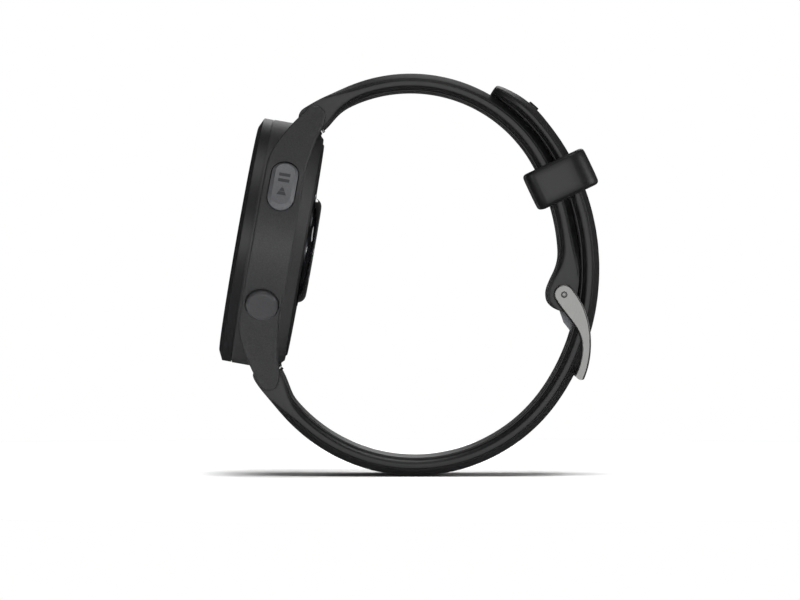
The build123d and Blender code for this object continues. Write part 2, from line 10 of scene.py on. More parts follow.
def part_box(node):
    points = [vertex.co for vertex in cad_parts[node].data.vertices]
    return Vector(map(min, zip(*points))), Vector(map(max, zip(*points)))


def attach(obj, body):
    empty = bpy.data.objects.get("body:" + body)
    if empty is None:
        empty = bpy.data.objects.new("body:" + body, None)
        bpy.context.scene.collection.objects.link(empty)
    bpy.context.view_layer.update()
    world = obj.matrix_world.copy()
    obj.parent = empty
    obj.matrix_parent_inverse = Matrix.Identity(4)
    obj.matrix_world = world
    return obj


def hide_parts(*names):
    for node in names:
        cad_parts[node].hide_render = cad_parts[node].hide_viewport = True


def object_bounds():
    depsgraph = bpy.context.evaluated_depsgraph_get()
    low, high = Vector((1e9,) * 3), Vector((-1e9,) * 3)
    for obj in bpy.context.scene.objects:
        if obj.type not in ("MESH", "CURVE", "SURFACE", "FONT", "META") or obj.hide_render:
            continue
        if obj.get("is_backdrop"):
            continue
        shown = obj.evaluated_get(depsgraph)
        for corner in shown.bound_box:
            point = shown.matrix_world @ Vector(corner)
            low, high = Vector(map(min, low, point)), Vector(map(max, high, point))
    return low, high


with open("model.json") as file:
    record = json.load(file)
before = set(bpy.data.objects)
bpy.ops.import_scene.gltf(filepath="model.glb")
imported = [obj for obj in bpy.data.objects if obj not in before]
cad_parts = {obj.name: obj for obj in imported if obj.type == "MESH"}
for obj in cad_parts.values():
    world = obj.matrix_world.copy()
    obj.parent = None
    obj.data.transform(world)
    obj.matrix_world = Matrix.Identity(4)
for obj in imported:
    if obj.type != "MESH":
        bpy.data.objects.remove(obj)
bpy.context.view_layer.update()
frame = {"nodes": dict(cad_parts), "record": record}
mm = 0.001
mounts = {mount["name"]: mount for mount in frame["record"]["mounts"]}
print("frame loaded:", len(frame["nodes"]), "nodes")

# Directions of the case, from the flat glass: out of the face, to 12 o'clock, to 3 o'clock
faceOut = Vector(mounts["crystal_face"]["axis"]).normalized()
faceThree = Vector((0, -1, 0))
faceTwelve = faceOut.cross(faceThree).normalized()
glassCentre = Vector(mounts["crystal_face"]["pos_m"])
sensorCentre = Vector(mounts["sensor_face"]["pos_m"])
glassSink = 0.05     # mm, the glass lies this far behind the bezel's face


# Placement on the tilted case: local X to the side, Y up, Z out
def casePlace(origin, out=faceOut, up=faceTwelve):
    return Matrix.Translation(origin) @ Matrix((up.cross(out), up, out)).transposed().to_4x4()


def makePiece(bm, name, body, material, smooth=True):
    bmesh.ops.remove_doubles(bm, verts=bm.verts, dist=1e-7)
    bmesh.ops.recalc_face_normals(bm, faces=bm.faces)
    mesh = bpy.data.meshes.new(name)
    bm.to_mesh(mesh)
    bm.free()
    for face in mesh.polygons:
        face.use_smooth = smooth
    mesh.materials.append(material)
    piece = bpy.data.objects.new(name, mesh)
    bpy.context.scene.collection.objects.link(piece)
    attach(piece, body)
    return piece


def smoothSurface(piece, levels):
    modifier = piece.modifiers.new("subsurf", "SUBSURF")
    modifier.levels = modifier.render_levels = levels


# sRGB hex to the linear colour that shaders take
def linear(hexColour):
    channels = [int(hexColour[i:i + 2], 16) / 255 for i in (1, 3, 5)]
    return [c / 12.92 if c <= 0.04045 else ((c + 0.055) / 1.055) ** 2.4 for c in channels] + [1.0]


# One shader node: settings are its properties and socket values, links are sockets to feed.
def addNode(tree, kind, settings=None, **links):
    node = tree.nodes.new(kind)
    for key, value in (settings or {}).items():
        if key in node.inputs:
            node.inputs[key].default_value = value
        else:
            setattr(node, key, value)
    for key, source in links.items():
        tree.links.new(source, node.inputs[key.replace("_", " ")])
    return node


def newMaterial(name, colour, roughness, metallic=0.0):
    material = bpy.data.materials.new(name)
    material.use_nodes = True
    tree = material.node_tree
    shader = tree.nodes["Principled BSDF"]
    shader.inputs["Base Color"].default_value = linear(colour)
    shader.inputs["Roughness"].default_value = roughness
    shader.inputs["Metallic"].default_value = metallic
    return material, tree, shader


# Fine relief of a given size, on object coordinates.
def grainBump(tree, shader, sizeMm, depthMm, detail=3.0, stretch=(1, 1, 1)):
    place = addNode(tree, "ShaderNodeTexCoord")
    mapping = addNode(tree, "ShaderNodeMapping", {"Scale": stretch}, Vector=place.outputs["Object"])
    noise = addNode(tree, "ShaderNodeTexNoise", {"Scale": 1 / (sizeMm * mm), "Detail": detail},
                    Vector=mapping.outputs["Vector"])
    bump = addNode(tree, "ShaderNodeBump", {"Strength": 1.0, "Distance": depthMm * mm},
                   Height=noise.outputs["Fac"])
    tree.links.new(bump.outputs["Normal"], shader.inputs["Normal"])
    return noise


# Colour varies between two tones along a source value.
def mottle(tree, shader, dark, light, source):
    ramp = addNode(tree, "ShaderNodeValToRGB", Fac=source)
    ramp.color_ramp.elements[0].position = 0.35
    ramp.color_ramp.elements[1].position = 0.65
    ramp.color_ramp.elements[0].color = linear(dark)
    ramp.color_ramp.elements[1].color = linear(light)
    tree.links.new(ramp.outputs["Color"], shader.inputs["Base Color"])


def varyRoughness(tree, shader, source, low, high):
    spread = addNode(tree, "ShaderNodeMapRange", {"To Min": low, "To Max": high}, Value=source)
    tree.links.new(spread.outputs["Result"], shader.inputs["Roughness"])


def casePolymer():
    # Glass-fibre filled polyamide, moulded and spark textured: dull charcoal with a fine sparkle
    material, tree, shader = newMaterial("glassFilledPolyamideTextured", "#363637", 0.5)
    noise = grainBump(tree, shader, 0.22, 0.01)
    mottle(tree, shader, "#303031", "#3C3C3D", noise.outputs["Fac"])
    varyRoughness(tree, shader, noise.outputs["Fac"], 0.44, 0.58)
    return material


def bezelPolymer():
    # The same polymer with a smoother mould: a satin ring that catches the light on its bevel
    material, tree, shader = newMaterial("glassFilledPolyamideSatin", "#1F1F21", 0.46)
    noise = grainBump(tree, shader, 0.3, 0.006)
    mottle(tree, shader, "#1D1D1F", "#212123", noise.outputs["Fac"])
    return material


def coverPolymer():
    # Moulded polyamide, matt black
    material, tree, shader = newMaterial("polyamideBlackMatt", "#1B1B1D", 0.55)
    noise = grainBump(tree, shader, 0.2, 0.015)
    varyRoughness(tree, shader, noise.outputs["Fac"], 0.48, 0.62)
    return material


def buttonPolymer():
    # Button caps moulded with the case
    material, tree, shader = newMaterial("polyamideButtonSatin", "#434345", 0.42)
    noise = grainBump(tree, shader, 0.2, 0.01)
    mottle(tree, shader, "#3F3F41", "#474749", noise.outputs["Fac"])
    return material


def startPolymer():
    # Mid grey moulded cap with a soft satin
    material, tree, shader = newMaterial("polyamideGreySatin", "#66676A", 0.42)
    noise = grainBump(tree, shader, 0.25, 0.008)
    mottle(tree, shader, "#626366", "#6A6B6E", noise.outputs["Fac"])
    return material


def markPaint():
    # Dark pad-printed ink in the engraved symbol
    material, tree, shader = newMaterial("inkDarkGrey", "#3E3F42", 0.6)
    grainBump(tree, shader, 0.15, 0.008)
    return material


def strapSilicone():
    # Liquid silicone rubber from a vapour-honed mould: soft black, slightly silky, faint grain
    material, tree, shader = newMaterial("siliconeRubberMatt", "#1F1F20", 0.52)
    shader.inputs["Sheen Weight"].default_value = 0.05
    shader.inputs["Sheen Roughness"].default_value = 0.4
    noise = grainBump(tree, shader, 0.4, 0.001, 1.0)
    mottle(tree, shader, "#151516", "#181819", noise.outputs["Fac"])
    varyRoughness(tree, shader, noise.outputs["Fac"], 0.42, 0.47)
    return material


def buckleSteel():
    # Stainless steel, bead blasted then brushed along the arm: pale satin with short soft streaks
    material, tree, shader = newMaterial("stainlessSteelSatin", "#757574", 0.4, 1.0)
    noise = grainBump(tree, shader, 0.25, 0.0004, 2.0, (1, 1, 0.15))
    mottle(tree, shader, "#70706F", "#7A7A79", noise.outputs["Fac"])
    varyRoughness(tree, shader, noise.outputs["Fac"], 0.34, 0.44)
    return material


def turnedSteel():
    # Turned stainless steel, fine rings from the tool
    material, tree, shader = newMaterial("stainlessSteelTurned", "#A8A8A8", 0.25, 1.0)
    noise = grainBump(tree, shader, 0.3, 0.003, 2.0, (1, 20, 1))
    varyRoughness(tree, shader, noise.outputs["Fac"], 0.2, 0.34)
    return material


def paintedRecessShadeSteel():
    # Darker steel painted as the shade in the recess round a riveted head
    material, tree, shader = newMaterial("stainlessSteelPaintedRecessShade", "#5A5A5A", 0.5, 1.0)
    grainBump(tree, shader, 0.2, 0.002)
    return material


def sheetSteel():
    # Tinned steel sheet of shields and switches, lightly streaked
    material, tree, shader = newMaterial("tinnedSteelRolled", "#B9BAB8", 0.38, 1.0)
    noise = grainBump(tree, shader, 0.8, 0.004, 3.0, (8, 1, 1))
    varyRoughness(tree, shader, noise.outputs["Fac"], 0.3, 0.5)
    return material


def crystalGlass():
    # Chemically hardened aluminosilicate glass, polished flat
    material, tree, shader = newMaterial("aluminosilicateGlassPolished", "#F4F6F8", 0.02)
    shader.inputs["Transmission Weight"].default_value = 1.0
    shader.inputs["IOR"].default_value = 1.5
    grainBump(tree, shader, 6.0, 0.0004, 1.0)
    return material


def displayBlack():
    # Display stack: near black, faintly structured under the glass
    material, tree, shader = newMaterial("displayStackBlack", "#08090B", 0.3)
    noise = grainBump(tree, shader, 0.4, 0.001)
    mottle(tree, shader, "#07080A", "#0C0D10", noise.outputs["Fac"])
    return material


def displayGlow(name, colour, strength):
    # Lit display segments
    material, tree, shader = newMaterial(name, colour, 0.5)
    shader.inputs["Emission Color"].default_value = linear(colour)
    shader.inputs["Emission Strength"].default_value = strength
    return material


def sensorLens():
    # Polished dark polycarbonate lens with a printed black mask round its light windows
    material, tree, shader = newMaterial("polycarbonateLensPolished", "#0B0B0D", 0.06)
    shader.inputs["Coat Weight"].default_value = 0.6
    shader.inputs["Coat Roughness"].default_value = 0.03
    noise = grainBump(tree, shader, 3.0, 0.0008, 1.0)
    mottle(tree, shader, "#09090B", "#101013", noise.outputs["Fac"])
    return material


def sensorTrim():
    # Physical-vapour-coated steel ring, dark satin; the same dark steel is also laid on the steel buckle
    # tongue as painted shade
    material, tree, shader = newMaterial("steelCoatedDarkAndTongueShade", "#3C3D3F", 0.34, 1.0)
    noise = grainBump(tree, shader, 0.2, 0.003)
    varyRoughness(tree, shader, noise.outputs["Fac"], 0.24, 0.38)
    return material


def gasketRubber():
    # Moulded nitrile seal, dull black
    material, tree, shader = newMaterial("nitrileRubberMoulded", "#161617", 0.7)
    grainBump(tree, shader, 0.2, 0.01)
    return material


def circuitBoard():
    # Solder mask over glass-fibre laminate: green with faint weave and copper runs
    material, tree, shader = newMaterial("solderMaskGreen", "#0F4A2A", 0.35)
    place = addNode(tree, "ShaderNodeTexCoord")
    pattern = {"Scale": 1 / (4 * mm), "Mortar Size": 0.03, "Color1": linear("#0F4A2A"),
               "Color2": linear("#0C4025"), "Mortar": linear("#2A6B3C")}
    brick = addNode(tree, "ShaderNodeTexBrick", pattern, Vector=place.outputs["Object"])
    tree.links.new(brick.outputs["Color"], shader.inputs["Base Color"])
    return material


def batteryFoil():
    # Laminated aluminium pouch, softly creased
    material, tree, shader = newMaterial("aluminiumPouchFoil", "#C4C6C8", 0.3, 1.0)
    noise = grainBump(tree, shader, 2.5, 0.05)
    varyRoughness(tree, shader, noise.outputs["Fac"], 0.24, 0.4)
    return material


def flexFilm():
    # Polyimide film over copper, amber
    material, tree, shader = newMaterial("polyimideFilmAmber", "#A0581C", 0.3)
    noise = grainBump(tree, shader, 0.6, 0.004)
    mottle(tree, shader, "#93501A", "#AB6122", noise.outputs["Fac"])
    return material


def contactGold():
    # Hard gold plating over nickel
    material, tree, shader = newMaterial("goldPlatingHard", "#D9A852", 0.22, 1.0)
    noise = grainBump(tree, shader, 0.15, 0.002)
    varyRoughness(tree, shader, noise.outputs["Fac"], 0.18, 0.3)
    return material


def epoxyPart(name, colour):
    # Cast epoxy over a chip
    material, tree, shader = newMaterial(name, colour, 0.2)
    noise = grainBump(tree, shader, 0.5, 0.003)
    varyRoughness(tree, shader, noise.outputs["Fac"], 0.15, 0.3)
    return material


looks = {
    "case_polymer": casePolymer(), "bezel_polymer": bezelPolymer(), "crystal_glass": crystalGlass(),
    "gasket_rubber": gasketRubber(), "display": displayBlack(), "cover_polymer": coverPolymer(),
    "flex_film": flexFilm(), "circuit_board": circuitBoard(), "sheet_steel": sheetSteel(),
    "battery_foil": batteryFoil(), "turned_steel": turnedSteel(), "contact_gold": contactGold(),
    "sensor_trim": sensorTrim(), "sensor_lens": sensorLens(),
    "led_package": epoxyPart("epoxyClearGreen", "#7FBF6A"),
    "photodiode": epoxyPart("epoxyTintedViolet", "#2A2440"),
    "start_polymer": startPolymer(), "button_polymer": buttonPolymer(),
    "strap_silicone": strapSilicone(), "buckle_steel": buckleSteel(),
}
markInk = markPaint()
# Darker steel: painted shade round the buckle pin heads
recessShadeSteel = paintedRecessShadeSteel()
for part in frame["record"]["subparts"]:
    node = frame["nodes"][part["node"]]
    node.data.materials.clear()
    node.data.materials.append(looks[part["material_slot"]])
frame["nodes"]["tongue"].data.materials[0] = looks["sensor_trim"]     # painted shade: dark trim steel on the steel tongue, which lies in shade between the buckle arms
print("materials made:", len(looks) + 2)


# Strap halves, in mm unless a note says otherwise
strapShape = {
    "step": 3.0,            # degrees between sections
    "bevelHeight": 1.05,    # mm, outer bevel seen from the side
    "bevelWidth": 2.4,
    "underHeight": 0.62,     # lower bevel
    "underWidth": 1.7,
    "lipHeight": 0.32,
    "crease": 0.42,         # groove between the side face and the outer bevel
    "hiddenEnd": 5.5,       # mm of each end that sits round its bar
    "bevelGrowth": 8.0,     # mm over which the bevels grow from there
    "halfWidth": 11.0,
    "holeHalfWidth": 1.3,
    "longestHole": 7.4,     # degrees; a longer gap is cut no longer than this
    "holesAfter": 12.0,     # degrees from the watch end before holes are looked for
    "holesBefore": 2.0,     # and short of the tip
    "holeRim": 0.45,        # degrees of firm edge drawn each side of a hole
    "scanStep": 0.1,        # degrees between looks for a hole
    "probeAt": 9.5,         # mm from the middle, clear of the holes
    "probeReach": 80,       # mm, past the strap on every side
    "tipLength": 6.5,       # mm over which the tail's tip rounds off
    "tipCut": 5.5,          # mm taken off each side at its very end
    "crown": 0.04,          # the middle stands this much proud of both edges
    "buckleSwell": (2.0, 15.0, 0.25),   # middle and half span in degrees, extra thickness
}


# Closed outline of one section: across the strap and up from the inner face, in mm.
def strapSection(thick, grown, halfWidth):
    k = min(1.0, thick / 3.2)
    w, top = halfWidth, thick
    rise, run = strapShape["bevelHeight"] * grown * k + 0.12, strapShape["bevelWidth"] * grown + 0.12
    under, tuck = strapShape["underHeight"] * grown * k, strapShape["underWidth"] * grown + 0.06
    lip = strapShape["lipHeight"] * k
    groove = strapShape["crease"] * grown
    hole = strapShape["holeHalfWidth"]
    crown = strapShape["crown"]
    half = [(0, -crown), (hole, -crown), (hole + 0.35, -crown), (min(5.0, w - 4.6), -crown),
            (w - tuck - 0.35, 0),
            (w - tuck - 0.06, 0.02), (w - tuck, 0.09), (w - tuck, lip), (w - tuck + 0.07, lip + 0.05),
            (w - 0.14, lip + under - 0.08), (w, lip + under + 0.1), (w, top - rise - 0.3 * k),
            (w - 0.03, top - rise - 0.14 * k), (w - groove, top - rise - 0.05 * k),
            (w - groove - 0.02, top - rise + 0.03 * k),
            (w - groove + 0.08 * grown, top - rise + 0.13 * k),
            (w - run - 0.12, top - 0.1 * k), (w - run - 0.3, top - 0.02), (w - run - 0.75, top),
            (min(5.0, w - 4.6), top + crown), (hole + 0.35, top + crown), (hole, top + crown),
            (0, top + crown)]
    return half + [(-y, h) for y, h in reversed(half[1:-1])]


# First and last points of a strap along a ray from the middle of the wrist opening.
def probe(tree, angle, y):
    aim = Vector((cos(angle), 0, sin(angle)))
    start = Vector((0, y, 0))
    reach = strapShape["probeReach"] * mm
    inner = tree.ray_cast(start, aim, reach)[0]
    outer = tree.ray_cast(start + aim * reach, -aim, reach)[0]
    return (inner, outer) if inner and outer else None


def strapTree(node):
    mesh = frame["nodes"][node].data
    mesh.calc_loop_triangles()
    return BVHTree.FromPolygons([v.co for v in mesh.vertices], [t.vertices for t in mesh.loop_triangles])


# Angles where rays just miss the strap, either side of a guess that hits it.
def strapEnds(tree, guess, y):
    ends = []
    for way in (-1, 1):
        low, high = guess, guess
        while probe(tree, high, y):
            low, high = high, high + way * radians(1)
        for _ in range(12):
            middle = (low + high) / 2
            low, high = (middle, high) if probe(tree, middle, y) else (low, middle)
        ends.append(low)
    return ends


# Angle spans of the holes on the strap's middle line.
def holeSpans(tree, start, end):
    spans, opened, angle = [], None, start
    while angle < end:
        hit = probe(tree, angle, 0.0)
        if not hit and opened is None:
            opened = angle
        if hit and opened is not None:
            spans.append((opened, angle))
            opened = None
        angle += radians(strapShape["scanStep"])
    return spans


# Section angles: even steps, with extra sections round each hole and towards both ends.
def stationAngles(start, end, holes):
    step = radians(strapShape["step"])
    count = int((end - start) / step)
    angles = [start + (end - start) * i / count for i in range(count + 1)]
    nose = [0.05, 0.18, 0.45, 0.75]
    angles += [start + step * t for t in nose] + [end - step * t for t in nose]
    for low, high in holes:
        edge = radians(strapShape["holeRim"])
        angles = [a for a in angles if not low - 2 * edge < a < high + 2 * edge]
        angles += [low - edge, low, (low + high) / 2, high, high + edge]
    return sorted(angles)


# One strap half as a loft that follows its solid; the tail has holes and a rounded tip
def loftStrap(name, node, guess, isTail=False):
    tree = strapTree(node)
    y = strapShape["probeAt"] * mm
    start, end = strapEnds(tree, guess, y)
    holes = []
    if isTail:
        scanFrom = start + radians(strapShape["holesAfter"])
        scanTo = end - radians(strapShape["holesBefore"])
        for low, high in holeSpans(tree, scanFrom, scanTo):
            middle, size = (low + high) / 2, min(high - low, radians(strapShape["longestHole"]))
            holes.append((middle - size / 2, middle + size / 2))
    angles = stationAngles(start, end, holes)
    hits = [probe(tree, angle, y) for angle in angles]
    lengths, travelled, last = [], 0.0, None
    for hit in hits:
        middle = (hit[0] + hit[1]) / 2
        travelled += (middle - last).length / mm if last else 0.0
        last = middle
        lengths.append(travelled)
    bm = bmesh.new()
    order = bm.verts.layers.int.new("order")
    rims, ring, edges = [], [], []
    for index, (angle, hit) in enumerate(zip(angles, hits)):
        fromStart, fromEnd = lengths[index], travelled - lengths[index]
        if not isTail:
            middle, span, extra = strapShape["buckleSwell"]
            swell = max(0.0, 1 - ((angle / radians(1) - middle) / span) ** 2) * extra * mm
            hit = (hit[0], hit[1] + (hit[1] - hit[0]).normalized() * swell)
        thick = (hit[1] - hit[0]).length / mm
        reach, hidden = strapShape["bevelGrowth"], strapShape["hiddenEnd"]
        grown = min(1.0, max(0.0, fromStart - hidden) / reach)
        halfWidth = strapShape["halfWidth"]
        if isTail:
            tip = max(0.0, 1 - fromEnd / strapShape["tipLength"])
            halfWidth -= strapShape["tipCut"] * (1 - sqrt(max(0.0, 1 - tip ** 2)))
            grown *= 1 - 0.5 * tip
        else:
            grown = min(grown, max(0.0, fromEnd - hidden) / reach)
        outline = strapSection(thick, grown * grown * (3 - 2 * grown), halfWidth)
        if not ring:
            ring = [bm.verts.new((0, 0, 0)) for _ in outline]
            for i, vert in enumerate(ring):
                vert[order] = i
            edges = [bm.edges.new((ring[i], ring[(i + 1) % len(ring)])) for i in range(len(ring))]
        else:
            added = bmesh.ops.extrude_edge_only(bm, edges=edges)["geom"]
            ring = [g for g in added if isinstance(g, bmesh.types.BMVert)]
            ring.sort(key=lambda v: v[order])
            edges = [g for g in added if isinstance(g, bmesh.types.BMEdge)
                     and all(v in ring for v in g.verts)]
        for vert in ring:
            side, up = outline[vert[order]]
            vert.co = hit[0].lerp(hit[1], up / thick)
            vert.co.y = side * mm
        if index in (0, len(angles) - 1):
            bmesh.ops.holes_fill(bm, edges=edges)
        rims.append((angle, ring))
    cutHoles(bm, rims, holes, len(outline))
    piece = makePiece(bm, name, node, looks["strap_silicone"])
    smoothSurface(piece, 2)
    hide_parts(node)


# Takes the faces of each hole out of both faces of the strap and bridges the two rims
def cutHoles(bm, rims, holes, count):
    for low, high in holes:
        span = [ring for angle, ring in rims if low - 1e-6 <= angle <= high + 1e-6]
        faces = []
        for first, second in zip(span, span[1:]):
            for centre in (0, count // 2):
                for a, b in ((centre, (centre + 1) % count), ((centre - 1) % count, centre)):
                    corners = {first[a], first[b], second[a], second[b]}
                    faces += [f for f in first[a].link_faces if set(f.verts) == corners]
        bmesh.ops.delete(bm, geom=faces, context="FACES")
        bmesh.ops.bridge_loops(bm, edges=[e for e in bm.edges if e.is_boundary])


loftStrap("upper_strap_silicone", "upper_strap", radians(60))
loftStrap("lower_strap_silicone", "lower_strap", radians(-90), isTail=True)
print("straps lofted")


# Keeper
keeperShape = {"wall": 1.85, "innerCorner": 2.0, "outerCorner": 3.7, "rimRadius": 0.8, "height": 12.3,
               "length": 7.4, "width": 26.6, "lean": 25.4}


def makeKeeper():
    low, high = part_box("keeper")
    middle = (low + high) / 2
    lean = radians(keeperShape["lean"])
    place = Matrix.Translation(middle) @ Matrix.Rotation(-lean, 4, "Y")
    bm = bmesh.new()
    bmesh.ops.create_cube(bm, size=1.0, matrix=Matrix.Diagonal(
        (keeperShape["height"] * mm, keeperShape["width"] * mm, keeperShape["length"] * mm, 1)))
    ends = [f for f in bm.faces if abs(f.normal.z) > 0.9]
    bmesh.ops.delete(bm, geom=ends, context="FACES_ONLY")
    for way, radius in ((1, "outerCorner"), (-1, "innerCorner")):
        corners = [e for e in bm.edges if abs((e.verts[0].co - e.verts[1].co).z) > 1 * mm
                   and e.verts[0].co.x * way > keeperShape["height"] * 0.49 * mm]
        bmesh.ops.bevel(bm, geom=corners, offset=keeperShape[radius] * mm, affect="EDGES", segments=6,
                        profile=0.5, material=-1)
    bmesh.ops.recalc_face_normals(bm, faces=bm.faces)
    bmesh.ops.solidify(bm, geom=list(bm.faces), thickness=keeperShape["wall"] * mm)
    bmesh.ops.recalc_face_normals(bm, faces=bm.faces)
    rims = [e for e in bm.edges if e.calc_face_angle(0) > radians(60)]
    bmesh.ops.bevel(bm, geom=rims, offset=keeperShape["rimRadius"] * mm, affect="EDGES", segments=3,
                    profile=0.5, material=-1)
    bmesh.ops.transform(bm, matrix=place, verts=bm.verts)
    piece = makePiece(bm, "keeper_silicone", "keeper", looks["strap_silicone"])
    smoothSurface(piece, 1)
    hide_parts("keeper")


makeKeeper()
print("keeper made")

# Riveted heads of the buckle pin
headShape = {"radius": 0.5, "proud": 0.07, "ring": 0.62, "ringDeep": 0.02}


def makePinHeads():
    bm = bmesh.new()
    rings = bmesh.new()
    low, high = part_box("buckle_pin")
    pivot = (low + high) / 2
    for way, face in ((1, high.y), (-1, low.y)):
        centre = Vector((pivot.x, face, pivot.z))
        axis = Vector((0, way, 0))
        r, h = headShape["radius"] * mm, headShape["proud"] * mm
        points = [(0, h), (r * 0.45, h * 0.94), (r * 0.8, h * 0.7), (r * 0.97, h * 0.35), (r, -h)]
        chain = [bm.verts.new(centre + Vector((x, way * y, 0))) for x, y in points]
        edges = [bm.edges.new(pair) for pair in zip(chain, chain[1:])]
        bmesh.ops.spin(bm, geom=chain + edges, cent=centre, axis=axis, angle=2 * pi, steps=32,
                       use_merge=True)
        # A thin dark disc round each head: painted shade of the recess round the rivet
        disc = Matrix.Translation(centre) @ Matrix.Rotation(pi / 2, 4, "X")
        made = bmesh.ops.create_circle(rings, cap_ends=True, segments=40,
                                       radius=headShape["ring"] * mm, matrix=disc)
        faces = list({f for v in made["verts"] for f in v.link_faces})
        grown = bmesh.ops.extrude_face_region(rings, geom=faces)["geom"]
        bmesh.ops.translate(rings, vec=axis * headShape["ringDeep"] * mm,
                            verts=[g for g in grown if isinstance(g, bmesh.types.BMVert)])
        bmesh.ops.translate(rings, vec=-axis * headShape["ringDeep"] * mm / 2, verts=made["verts"])
    makePiece(bm, "buckle_pin_heads", "buckle", looks["buckle_steel"])
    makePiece(rings, "buckle_pin_shade_rings", "buckle", recessShadeSteel, smooth=False)


makePinHeads()

# Raised pip on the tail
pipShape = {"length": 2.1, "width": 7.0, "height": 0.5, "edge": 0.14, "spot": (22.6, 31.35),
            "lean": 42.0}


def makePip():
    bm = bmesh.new()
    bmesh.ops.create_cube(bm, size=1.0, matrix=Matrix.Diagonal(
        (pipShape["length"] * mm, pipShape["width"] * mm, 2 * pipShape["height"] * mm, 1)))
    bmesh.ops.bevel(bm, geom=list(bm.edges), offset=pipShape["edge"] * mm, affect="EDGES", segments=2,
                    profile=0.5, material=-1)
    spot = Vector((pipShape["spot"][0], 0, pipShape["spot"][1])) * mm
    place = Matrix.Translation(spot) @ Matrix.Rotation(radians(pipShape["lean"]), 4, "Y")
    bmesh.ops.transform(bm, matrix=place, verts=bm.verts)
    makePiece(bm, "tail_pip", "lower_strap", looks["strap_silicone"])


makePip()


# Symbol on the start button: a play triangle and two pause bars. The triangle's point and the
# bars' places and length are parts of the symbol's length, from its middle.
markShape = {"length": 5.6, "width": 2.1, "proud": 0.02, "angle": 28.5, "depth": 6.75, "reach": 24.35,
             "point": -0.1, "bars": (0.1, 0.32), "barLength": 0.12}


# Flat shape, x along the case towards 12 and y towards the back, laid on the round case.
def wrapOnCase(bm, angle, depth, reach):
    for vert in bm.verts:
        turn = radians(angle) + vert.co.x / (reach * mm)
        out = faceThree * cos(turn) + faceTwelve * sin(turn)
        vert.co = (glassCentre + out * (reach * mm + vert.co.z)
                   - faceOut * ((depth - glassSink) * mm + vert.co.y))


def makeMark():
    bm = bmesh.new()
    tall, wide = markShape["length"] * mm, markShape["width"] * mm
    corners = ((-tall / 2, -wide / 2, 0), (-tall / 2, wide / 2, 0), (markShape["point"] * tall, 0, 0))
    bm.faces.new([bm.verts.new(corner) for corner in corners])
    for middle in markShape["bars"]:
        size = Matrix.Diagonal((tall * markShape["barLength"], wide, 1, 1))
        bmesh.ops.create_grid(bm, x_segments=1, y_segments=1, size=0.5,
                              matrix=Matrix.Translation((middle * tall, 0, 0)) @ size)
    bmesh.ops.subdivide_edges(bm, edges=list(bm.edges), cuts=3, use_grid_fill=True)
    bmesh.ops.triangulate(bm, faces=list(bm.faces))
    bmesh.ops.solidify(bm, geom=list(bm.faces), thickness=-markShape["proud"] * mm)
    wrapOnCase(bm, markShape["angle"], markShape["depth"], markShape["reach"])
    makePiece(bm, "start_button_mark", "start_button", markInk, smooth=False)


makeMark()
print("pip and button mark made")


# Dial under the glass: time, seconds track and three small readings
dialShape = {"depth": 1.035, "radius": 16.6, "ticks": 60, "tickLength": 1.0, "longTick": 1.9,
             "thickness": 0.01}
paleGlow = displayGlow("displaySegmentsPale", "#DDE3E6", 0.7)
tealGlow = displayGlow("displaySegmentsTeal", "#3FB8B0", 0.8)


def dialPlace():
    return casePlace(glassCentre - faceOut * (dialShape["depth"] - glassSink) * mm)


def makeTicks():
    for name, every, length, glow in (("dial_ticks", 1, "tickLength", paleGlow),
                                      ("dial_hour_ticks", 5, "longTick", tealGlow)):
        bm = bmesh.new()
        size = (0.22 if every == 1 else 0.5, dialShape[length], dialShape["thickness"])
        for index in range(0, dialShape["ticks"], every):
            if every == 1 and index % 5 == 0:
                continue
            turn = Matrix.Rotation(2 * pi * index / dialShape["ticks"], 4, "Z")
            move = Matrix.Translation((0, (dialShape["radius"] - size[1] / 2) * mm, 0))
            bmesh.ops.create_cube(bm, size=1.0, matrix=turn @ move @ Matrix.Diagonal(
                [v * mm for v in size] + [1]))
        bmesh.ops.transform(bm, matrix=dialPlace(), verts=bm.verts)
        makePiece(bm, name, "case", glow, smooth=False)


def makeReading(name, text, size, across, up, glow):
    curve = bpy.data.curves.new(name, "FONT")
    curve.body = text
    curve.size = size * mm
    curve.align_x, curve.align_y = "CENTER", "CENTER"
    curve.extrude = dialShape["thickness"] / 2 * mm
    curve.resolution_u = 4
    letters = bpy.data.objects.new(name, curve)
    bpy.context.scene.collection.objects.link(letters)
    bpy.context.view_layer.update()
    bm = bmesh.new()
    bm.from_mesh(letters.to_mesh())
    letters.to_mesh_clear()
    bpy.data.objects.remove(letters)
    move = dialPlace() @ Matrix.Translation((across * mm, up * mm, 0))
    bmesh.ops.transform(bm, matrix=move, verts=bm.verts)
    makePiece(bm, name, "case", glow, smooth=False)


def makeBar(name, across, up, width, height, glow):
    bm = bmesh.new()
    bmesh.ops.create_cube(bm, size=1.0, matrix=dialPlace() @ Matrix.Translation(
        (across * mm, up * mm, 0)) @ Matrix.Diagonal(
        (width * mm, height * mm, dialShape["thickness"] * mm, 1)))
    makePiece(bm, name, "case", glow, smooth=False)


makeTicks()
makeReading("dial_time", "10:09", 10.5, 0, 1.2, paleGlow)
makeReading("dial_steps", "6240", 3.0, 0, 9.4, tealGlow)
makeReading("dial_pulse", "72", 3.6, -6.2, -8.3, paleGlow)
makeReading("dial_date", "21", 3.6, 6.2, -8.3, paleGlow)
makeBar("dial_rule_top", 0, 6.7, 17.0, 0.16, tealGlow)
makeBar("dial_rule_low", 0, -4.6, 17.0, 0.16, tealGlow)
print("dial made")


# Light windows in the sensor lens
windowShape = {"proud": 0.015, "lightSize": 2.8, "size": 2.1, "corner": 0.22, "reach": 5.0}


